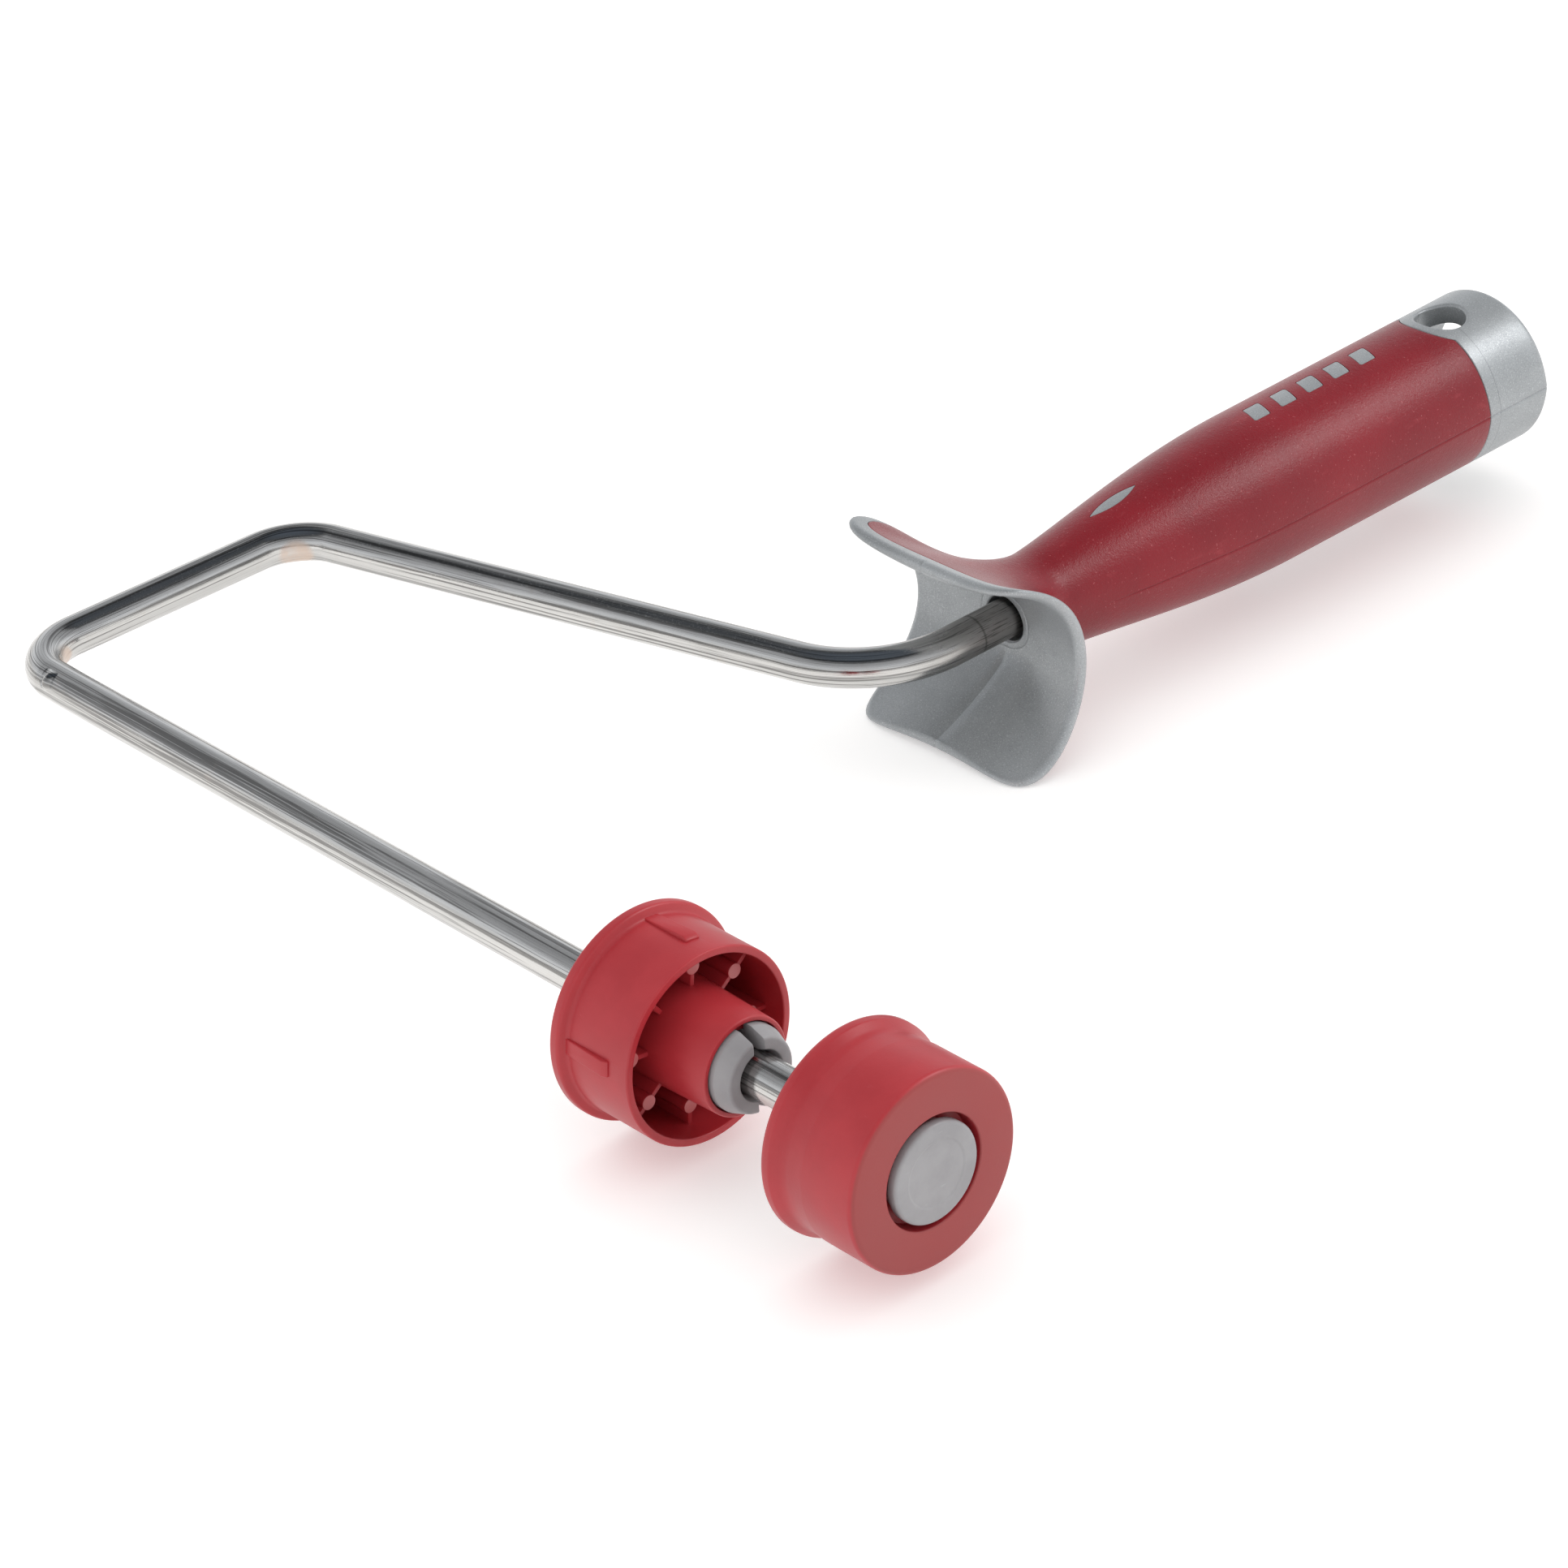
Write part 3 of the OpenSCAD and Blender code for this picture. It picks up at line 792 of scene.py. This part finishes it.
def jaw(outline, half_slot, side, segments=48):
    """Half of the split head: an outline turned between two faces parallel to the slot."""
    rings = []
    start = np.arcsin(half_slot / outline[:, 1])
    for k in range(segments + 1):
        a = start + (math.pi - 2 * start) * k / segments
        y = outline[:, 1] * np.sin(a) * side
        z = outline[:, 1] * np.cos(a)
        rings.append(np.stack([outline[:, 0], y, z], 1))
    return bevel(loft("jaw", rings), 0.3, limit=40)


def bush_start(x0, inner, bore_round):
    """The outline of a bush's inside end with its flange, from the bore outwards."""
    x1 = x0 + BUSH_FLANGE_T
    return [(x0, inner, bore_round), (x0, BUSH_FLANGE_R, 0.4), (x1, BUSH_FLANGE_R, 0.1),
            (x1, BUSH_R, 0.1)]


def build_rear_bush():
    x0, nose_x = REAR_BUSH_LOW[0], REAR_BUSH_HIGH[0]
    inner = WIRE_R + 0.05
    split_x = nose_x - 11
    head_x = nose_x - 5.3
    head_r = 8.1
    sleeve = lathe("split_bush", bush_start(x0, inner, 0.2) + [
        (split_x, BUSH_R), (split_x, inner)], 128)
    head = rounded([
        (split_x, inner), (split_x, BUSH_R), (head_x, BUSH_R, 0.1), (head_x, head_r, 0.2),
        (nose_x - 3.2, head_r, 0.3), (nose_x, 7.0, 0.7), (nose_x, WIRE_R + 0.8, 0.3),
        (nose_x - 2, inner, 0.3)], 4)
    return join(sleeve, *[jaw(head, 1.2, side) for side in (-1, 1)])


def build_front_bush():
    x0, x1 = FRONT_BUSH_LOW[0], FRONT_BUSH_HIGH[0]
    inner = WIRE_R + 0.01
    lip_x = x1 - 0.8
    return lathe("inner_bush", bush_start(x0, inner, 0.3) + [
        (lip_x, BUSH_R, 0.1), (lip_x, BUSH_FLANGE_R, 0.1), (x1, BUSH_FLANGE_R, 0.1),
        (x1, inner)], 128)


def build_push_nut():
    """A dished spring-steel washer whose slots leave six teeth that bite on the rod."""
    x0, x1 = RING_LOW[0], RING_HIGH[0]
    outer = RING_HIGH[2]
    nut = lathe("push_nut", [
        (x0, WIRE_R + 0.02), (x0, outer, 0.1), (x0 + 0.4, outer, 0.1), (x0 + 0.45, 6),
        (x1, WIRE_R + 0.15)], 96)
    low, high = WIRE_R - 1, WIRE_R + 1.6
    slot = [(x0 - 1, low), (x1 + 1, low), (x1 + 1, high), (x0 - 1, high)]
    slots = [prism("slot", slot, 0.4, turn_x(60 * k + 30)) for k in range(6)]
    return boolean(nut, join(*slots))


def build_button():
    """The press-in plug that closes the rod's end, with a faint dished face."""
    x0, x1 = BUTTON_LOW[0], BUTTON_HIGH[0]
    outer = BUTTON_HIGH[2]
    plate_x = x1 - 1.9
    dish_x = x1 - 0.12
    skirt = (7.3, 8.3)
    pinhole = 0.001
    return lathe("end_plug", [
        (x0, skirt[0], 0.15), (x0, skirt[1], 0.15), (plate_x, skirt[1], 0.1), (plate_x, outer, 0.2),
        (x1, outer, 0.65), (x1, 6.4, 0.4), (dish_x, 6.0, 0.4), (dish_x, pinhole),
        (plate_x, pinhole), (plate_x, skirt[0], 0.2)], 160)


# ---------- materials ----------


class Paint:
    """A node material and the few calls that its recipes share."""

    def __init__(self, name, **sockets):
        self.material = bpy.data.materials.new(name)
        self.material.use_nodes = True
        self.tree = self.material.node_tree
        self.shader = self.tree.nodes["Principled BSDF"]
        for key, value in sockets.items():
            self.shader.inputs[key.replace("_", " ")].default_value = value

    def node(self, kind, **settings):
        node = self.tree.nodes.new(kind)
        for key, value in settings.items():
            setattr(node, key, value)
        return node

    def link(self, source, target):
        self.tree.links.new(source, target)

    def value(self, socket, source):
        """Sets a socket from a number or from another socket."""
        if isinstance(source, bpy.types.NodeSocket):
            self.link(source, socket)
        else:
            socket.default_value = source

    def coordinates(self, source="Object"):
        return self.node("ShaderNodeTexCoord").outputs[source]

    def axes(self, source="Object"):
        """The x, y and z of the coordinates, each as a socket."""
        split = self.node("ShaderNodeSeparateXYZ")
        self.link(self.coordinates(source), split.inputs[0])
        return split.outputs

    def stretched(self, scale, source="Object"):
        mapping = self.node("ShaderNodeMapping")
        mapping.inputs["Scale"].default_value = scale
        self.link(self.coordinates(source), mapping.inputs["Vector"])
        return mapping.outputs["Vector"]

    def noise(self, scale, detail=3, roughness=0.5, where=None):
        node = self.node("ShaderNodeTexNoise")
        node.inputs["Scale"].default_value = scale
        node.inputs["Detail"].default_value = detail
        node.inputs["Roughness"].default_value = roughness
        self.link(where or self.coordinates(), node.inputs["Vector"])
        return node.outputs["Fac"]

    def cells(self, scale):
        node = self.node("ShaderNodeTexVoronoi")
        node.inputs["Scale"].default_value = scale
        self.link(self.coordinates(), node.inputs["Vector"])
        return node.outputs["Distance"]

    def span(self, source, low, high, to_low=0.0, to_high=1.0):
        """A smooth step: to_low where the source is at low, to_high where it is at high."""
        node = self.node("ShaderNodeMapRange")
        node.interpolation_type = "SMOOTHSTEP"
        for key, value in zip(("Value", "From Min", "From Max", "To Min", "To Max"),
                              (source, low, high, to_low, to_high)):
            self.value(node.inputs[key], value)
        return node.outputs["Result"]

    def band(self, source, start, top_start, top_end, end):
        """One between top_start and top_end, falling to nothing at start and end."""
        rise, fall = self.span(source, start, top_start), self.span(source, end, top_end)
        return self.math("MULTIPLY", rise, fall)

    def math(self, operation, a, b=0.0):
        node = self.node("ShaderNodeMath", operation=operation)
        self.value(node.inputs[0], a)
        self.value(node.inputs[1], b)
        return node.outputs["Value"]

    def mix(self, share, a, b):
        node = self.node("ShaderNodeMix", data_type="RGBA")
        self.value(node.inputs["Factor"], share)
        for socket, colour in ((node.inputs[6], a), (node.inputs[7], b)):
            self.value(socket, (*colour, 1) if isinstance(colour, tuple) else colour)
        return node.outputs[2]

    def over(self, colour, share, mask, other):
        """The colour with a share of another one laid over it where the mask is one."""
        return self.mix(self.math("MULTIPLY", mask, share), colour, other)

    def bump(self, height, strength, distance, base=None):
        node = self.node("ShaderNodeBump")
        node.inputs["Strength"].default_value = strength
        node.inputs["Distance"].default_value = distance
        self.link(height, node.inputs["Height"])
        if base:
            self.link(base, node.inputs["Normal"])
        return node.outputs["Normal"]

    def use(self, **outputs):
        for key, source in outputs.items():
            self.link(source, self.shader.inputs[key.replace("_", " ")])
        return self.material


def steel_paint():
    """Drawn bright steel: long streaks, tinted flats in the bends, scratched at the handle."""
    p = Paint("drawn_steel", Metallic=1.0)
    streaks = p.noise(1100, 5, 0.72, p.stretched((1, 0.007, 1), "UV"))
    broad = p.noise(420, 3, 0.6, p.stretched((1, 0.02, 1), "UV"))
    fine = p.noise(5200, 3, 0.6, p.stretched((1, 0.006, 1), "UV"))
    mottle = p.noise(240, 5, 0.6)
    pits = p.span(p.noise(2600, 3, 0.6), 0.6, 0.7)
    scratch = p.span(p.noise(2600, 4, 0.65, p.stretched((1, 0.04, 1), "UV")), 0.5, 0.62)
    along = p.axes("UV")["Y"]
    mouth = rod_length() - EMBEDDED
    rubbed = p.span(along, (mouth - 30) * MM, (mouth - 8) * MM)
    ring = p.band(along, *[(mouth - back) * MM for back in (9.2, 8.8, 8.7, 8.3)])
    flats = bend_flats(p)
    colour = p.mix(p.span(broad, 0.35, 0.7), (0.56, 0.555, 0.54), (0.7, 0.69, 0.67))
    colour = p.over(colour, 0.8, p.span(streaks, 0.5, 0.56), (0.16, 0.155, 0.15))
    colour = p.over(colour, 0.35, p.span(fine, 0.55, 0.68), (0.25, 0.245, 0.24))
    colour = p.over(colour, 0.2, p.span(mottle, 0.58, 0.75), (0.5, 0.42, 0.36))
    colour = p.over(colour, p.span(mottle, 0.3, 0.6, 0.2, 0.75), flats, (0.64, 0.5, 0.41))
    worn = p.mix(p.math("MULTIPLY", scratch, 0.75), (0.34, 0.325, 0.31), (0.07, 0.065, 0.06))
    colour = p.mix(rubbed, colour, worn)
    colour = p.over(colour, 0.6, ring, (0.08, 0.075, 0.07))
    rough = p.span(broad, 0.3, 0.75, 0.12, 0.22)
    rough = p.math("ADD", rough, p.math("MULTIPLY", rubbed, 0.2))
    rough = p.math("ADD", rough, p.math("MULTIPLY", flats, 0.2))
    height = p.math("ADD", p.math("MULTIPLY", streaks, 0.5), p.math("MULTIPLY", fine, 0.35))
    height = p.math("ADD", height, p.math("MULTIPLY", pits, 0.25))
    normal = p.bump(height, 0.25, 0.00012)
    return p.use(Base_Color=colour, Roughness=rough, Normal=normal)


def bend_flats(p):
    """Where the bending tool pressed the inside of the two corners flat."""
    total = 0.0
    for centre, start, end, _ in rod_bends()[:2]:
        inside = centre + unit(start + end) * (CORNER_R - WIRE_R)
        away = p.node("ShaderNodeVectorMath", operation="SUBTRACT")
        p.link(p.coordinates(), away.inputs[0])
        away.inputs[1].default_value = (inside[0] * MM, inside[1] * MM, -1.2 * MM)
        size = p.node("ShaderNodeVectorMath", operation="LENGTH")
        p.link(away.outputs[0], size.inputs[0])
        share = p.span(size.outputs["Value"], FLAT_R[1] * MM, FLAT_R[0] * MM)
        total = p.math("ADD", share, total)
    return total


def rod_length():
    points, _ = centre_line()
    return np.linalg.norm(np.diff(points, axis=0), axis=1).sum()


def rubber_paint():
    """Deep crimson soft plastic: fine grain, pale dust specks and faint rub marks."""
    p = Paint("crimson_rubber", Specular_IOR_Level=0.42)
    grain = p.noise(3000, 3, 0.6)
    clouds = p.noise(38, 4, 0.55)
    specks = p.span(p.noise(1900, 2, 0.5), 0.67, 0.73)
    dust = p.span(p.cells(640), 0.08, 0.04)
    rubs = p.span(p.noise(260, 4, 0.65, p.stretched((1, 0.45, 1.2))), 0.6, 0.78)
    colour = p.mix(p.span(clouds, 0.3, 0.7), (0.18, 0.0042, 0.0105), (0.22, 0.0055, 0.013))
    colour = p.over(colour, 0.4, rubs, (0.36, 0.045, 0.055))
    colour = p.over(colour, 0.4, specks, (0.48, 0.13, 0.14))
    colour = p.over(colour, 0.4, dust, (0.55, 0.26, 0.25))
    rough = p.math("ADD", p.span(grain, 0.25, 0.75, 0.29, 0.39), p.math("MULTIPLY", rubs, 0.05))
    normal = p.bump(grain, 0.4, 0.00016, p.bump(p.noise(900, 2), 0.16, 0.0003))
    return p.use(Base_Color=colour, Roughness=rough, Normal=normal)


def grey_metallic_paint():
    """Moulded grey plastic with metal flake, and a fine ring round the collar."""
    p = Paint("flake_grey", Metallic=0.5)
    flake = p.noise(4200, 2, 0.5)
    flow = p.noise(45, 4, 0.6, p.stretched((1, 0.6, 1.3)))
    colour = p.mix(p.span(flow, 0.3, 0.7), (0.315, 0.332, 0.342), (0.39, 0.408, 0.42))
    colour = p.over(colour, 0.5, p.span(flake, 0.58, 0.68), (0.62, 0.64, 0.65))
    colour = p.over(colour, 0.3, p.span(flake, 0.42, 0.34), (0.17, 0.18, 0.185))
    ring_y = COLLAR_Y + 3
    ring = p.band(p.axes()["Y"], *[(ring_y + off) * MM for off in (-0.16, 0, 0, 0.16)])
    colour = p.over(colour, 0.45, ring, (0.12, 0.125, 0.13))
    rough = p.span(flake, 0.3, 0.7, 0.46, 0.36)
    normal = p.bump(flake, 0.16, 0.0001, p.bump(p.noise(700, 2), 0.08, 0.0003))
    return p.use(Base_Color=colour, Roughness=rough, Normal=normal)


def red_plastic_paint():
    """Satin red plastic with a faint orange-peel skin and pale scuffs."""
    p = Paint("satin_red", Specular_IOR_Level=0.5, Subsurface_Weight=0.12,
              Subsurface_Radius=(0.004, 0.0008, 0.0008), Subsurface_Scale=0.6)
    peel = p.noise(2200, 2, 0.5)
    clouds = p.noise(60, 4, 0.6)
    scuff = p.span(p.noise(420, 5, 0.7, p.stretched((0.35, 1, 1))), 0.64, 0.8)
    x, y, z = p.axes()
    reach = p.math("SQRT", p.math("ADD", p.math("MULTIPLY", y, y), p.math("MULTIPLY", z, z)))
    # The front face is rougher, and its colour is darkened towards brown as painted shade; the
    # ejectors left pale pads on the rear cap's ribs.
    face = p.span(x, (FRONT_HIGH[0] - 0.5) * MM, (FRONT_HIGH[0] - 0.1) * MM)
    rib_x = REAR_LOW[0] + CUP_LEN - RIB_DROP
    top = p.band(x, *[(rib_x + off) * MM for off in (0.08, 0.13, 0.2, 0.3)])
    pad = p.math("MULTIPLY", top, p.band(reach, *[r * MM for r in (11.4, 11.8, 15.2, 15.6)]))
    colour = p.mix(p.span(clouds, 0.3, 0.7), (0.37, 0.021, 0.029), (0.43, 0.027, 0.036))
    colour = p.over(colour, 0.25, scuff, (0.6, 0.16, 0.17))
    # Painted shade: the front face's colour darkened towards brown.
    colour = p.over(colour, 0.75, face, (0.26, 0.045, 0.042))
    colour = p.over(colour, 0.7, pad, (0.62, 0.22, 0.22))
    rough = p.math("ADD", p.span(clouds, 0.3, 0.75, 0.36, 0.44), p.math("MULTIPLY", scuff, 0.1))
    rough = p.math("ADD", rough, p.math("MULTIPLY", face, 0.1))
    normal = p.bump(peel, 0.1, 0.00012, p.bump(p.noise(330, 3), 0.05, 0.0004))
    return p.use(Base_Color=colour, Roughness=rough, Normal=normal)


def grey_plastic_paint():
    """Cool grey satin plastic of the bushes and the plug."""
    p = Paint("cool_grey", Specular_IOR_Level=0.5)
    clouds = p.noise(120, 4, 0.6)
    scratches = p.span(p.noise(900, 3, 0.6, p.stretched((1, 0.25, 1.6))), 0.68, 0.78)
    colour = p.mix(p.span(clouds, 0.3, 0.7), (0.26, 0.255, 0.265), (0.31, 0.305, 0.315))
    colour = p.over(colour, 0.25, scratches, (0.5, 0.5, 0.52))
    rough = p.span(clouds, 0.3, 0.7, 0.36, 0.46)
    normal = p.bump(p.noise(2600, 2, 0.5), 0.1, 0.0001)
    return p.use(Base_Color=colour, Roughness=rough, Normal=normal)


def spring_steel_paint():
    p = Paint("spring_steel", Metallic=1.0)
    grain = p.noise(1800, 4, 0.6)
    colour = p.mix(p.span(grain, 0.3, 0.7), (0.3, 0.3, 0.31), (0.42, 0.42, 0.43))
    rough = p.span(grain, 0.3, 0.7, 0.28, 0.42)
    return p.use(Base_Color=colour, Roughness=rough, Normal=p.bump(grain, 0.1, 0.0001))


def floor_paint():
    p = Paint("pale_floor", Roughness=0.9, Specular_IOR_Level=0.1,
              Emission_Color=(1, 0.99, 0.985, 1), Emission_Strength=0.3)
    return p.use(Base_Color=p.mix(p.noise(6, 3), (0.86, 0.86, 0.86), (0.88, 0.88, 0.88)))


# ---------- stage ----------


def make_camera():
    """The viewing angle: where the camera stands in the row frame, and its three axes."""
    place = Vector((0.5154, -0.4417, 0.4691))
    right = Vector((0.67007629, 0.73862745, -0.07366991))
    down = Vector((0.32587397, -0.38188927, -0.86485071))
    ahead = Vector((-0.66693622, 0.55550885, -0.4965944))
    data = bpy.data.cameras.new("camera")
    data.sensor_width = 36
    data.lens = 115.24
    data.shift_x = -0.0117
    data.shift_y = -0.0347
    data.clip_start = 0.01
    data.clip_end = 50
    camera = bpy.data.objects.new("camera", data)
    camera.matrix_world = Matrix((
        (right.x, -down.x, -ahead.x, place.x),
        (right.y, -down.y, -ahead.y, place.y),
        (right.z, -down.z, -ahead.z, place.z),
        (0, 0, 0, 1)))
    bpy.context.scene.collection.objects.link(camera)
    bpy.context.scene.camera = camera


def area_light(name, place, target, size, power, glossy=False):
    data = bpy.data.lights.new(name, "AREA")
    data.shape = "RECTANGLE"
    data.size, data.size_y = size
    data.energy = power
    light = bpy.data.objects.new(name, data)
    light.location = place
    light.visible_glossy = glossy
    light.rotation_euler = (Vector(target) - Vector(place)).to_track_quat("-Z", "Y").to_euler()
    bpy.context.scene.collection.objects.link(light)
    return light


# Light for matte surfaces, and what glossy ones mirror: the walls, then a colour by height
TENT_LIGHT = (1.02, 1.01, 1.0, 1)
TENT_FOOT = (0.88, 0.87, 0.86, 1)
TENT_TOP = (0.1, 0.12, 0.15, 1)
TENT_LEVELS = ((0.3, 0.9), (0.44, 0.66), (0.56, 0.46), (0.72, 0.4), (0.79, 0.06))


def make_world():
    """A light tent: even light all round, white walls and a dark opening overhead."""
    world = bpy.data.worlds.new("studio")
    world.use_nodes = True
    tree = world.node_tree
    tree.nodes.clear()
    coords = tree.nodes.new("ShaderNodeTexCoord")
    split = tree.nodes.new("ShaderNodeSeparateXYZ")
    ramp = tree.nodes.new("ShaderNodeValToRGB")
    stops = ramp.color_ramp.elements
    stops[0].position, stops[0].color = 0.0, TENT_FOOT
    stops[1].position, stops[1].color = 1.0, TENT_TOP
    for height, level in TENT_LEVELS:
        stops.new(height).color = (level * 0.97, level, level * 1.05, 1)
    tree.links.new(coords.outputs["Generated"], split.inputs[0])
    tree.links.new(split.outputs["Z"], ramp.inputs["Fac"])
    seen = tree.nodes.new("ShaderNodeLightPath")
    shader = tree.nodes.new("ShaderNodeBackground")
    tree.links.new(ramp.outputs["Color"], shader.inputs["Color"])
    for ray, colour in (("Is Diffuse Ray", TENT_LIGHT), ("Is Camera Ray", (1, 1, 1, 1))):
        plain = tree.nodes.new("ShaderNodeBackground")
        plain.inputs["Color"].default_value = colour
        mix = tree.nodes.new("ShaderNodeMixShader")
        tree.links.new(seen.outputs[ray], mix.inputs[0])
        tree.links.new(shader.outputs[0], mix.inputs[1])
        tree.links.new(plain.outputs[0], mix.inputs[2])
        shader = mix
    out = tree.nodes.new("ShaderNodeOutputWorld")
    tree.links.new(shader.outputs[0], out.inputs["Surface"])
    bpy.context.scene.world = world


def make_floor():
    half, z = 4000, cad_low.z / MM - 0.2
    corners = [(x * half, y * half, z) for x, y in ((-1, -1), (1, -1), (1, 1), (-1, 1))]
    floor = mesh_object("floor", corners, [range(4)])
    floor.data.materials.append(floor_paint())


# ---------- assembly ----------

PIECES = [
    # build, body, CAD node, material slot, material
    (build_rod, "frame", "wire_frame", "steel_rod", steel_paint),
    (build_core, "frame", "handle_core", "core_plastic", grey_metallic_paint),
    (build_cover, "frame", "handle_grip", "soft_grip", rubber_paint),
    (build_rear_cap, "rear_cap", "rear_cap", "red_plastic", red_plastic_paint),
    (build_rear_bush, "rear_bush", "rear_bush", "grey_plastic", grey_plastic_paint),
    (build_front_cap, "front_cap", "front_cap", "red_plastic", red_plastic_paint),
    (build_front_bush, "frame", "front_bush", "grey_plastic", grey_plastic_paint),
    (build_push_nut, "frame", "retaining_ring", "spring_steel", spring_steel_paint),
    (build_button, "frame", "end_button", "grey_plastic", grey_plastic_paint),
]

make_camera()
bpy.context.scene.view_settings.view_transform = "Standard"
# The side light falls on the plastics that show: its narrow glint would spoil the steel.
plastics = bpy.data.collections.new("plastics")
materials = {}
for build, body, node, slot, paint in PIECES:
    piece = build()
    if paint not in materials:
        materials[paint] = paint()
    piece.data.materials.clear()
    piece.data.materials.append(materials[paint])
    if slot.endswith(("plastic", "grip")) and node != "front_bush":
        plastics.objects.link(piece)
    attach(piece, body)
    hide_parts(node)

make_world()
make_floor()
# Each light's place and target in metres, its size, and its power in watts
area_light("key", (-0.9, 0.2, 1.6), (-0.1, 0.1, 0), (2.4, 2.0), 4)
side = area_light("side", (0.57, 1.03, 1.04), (-0.12, 0.2, 0), (0.62, 0.5), 7, glossy=True)
side.light_linking.receiver_collection = plastics
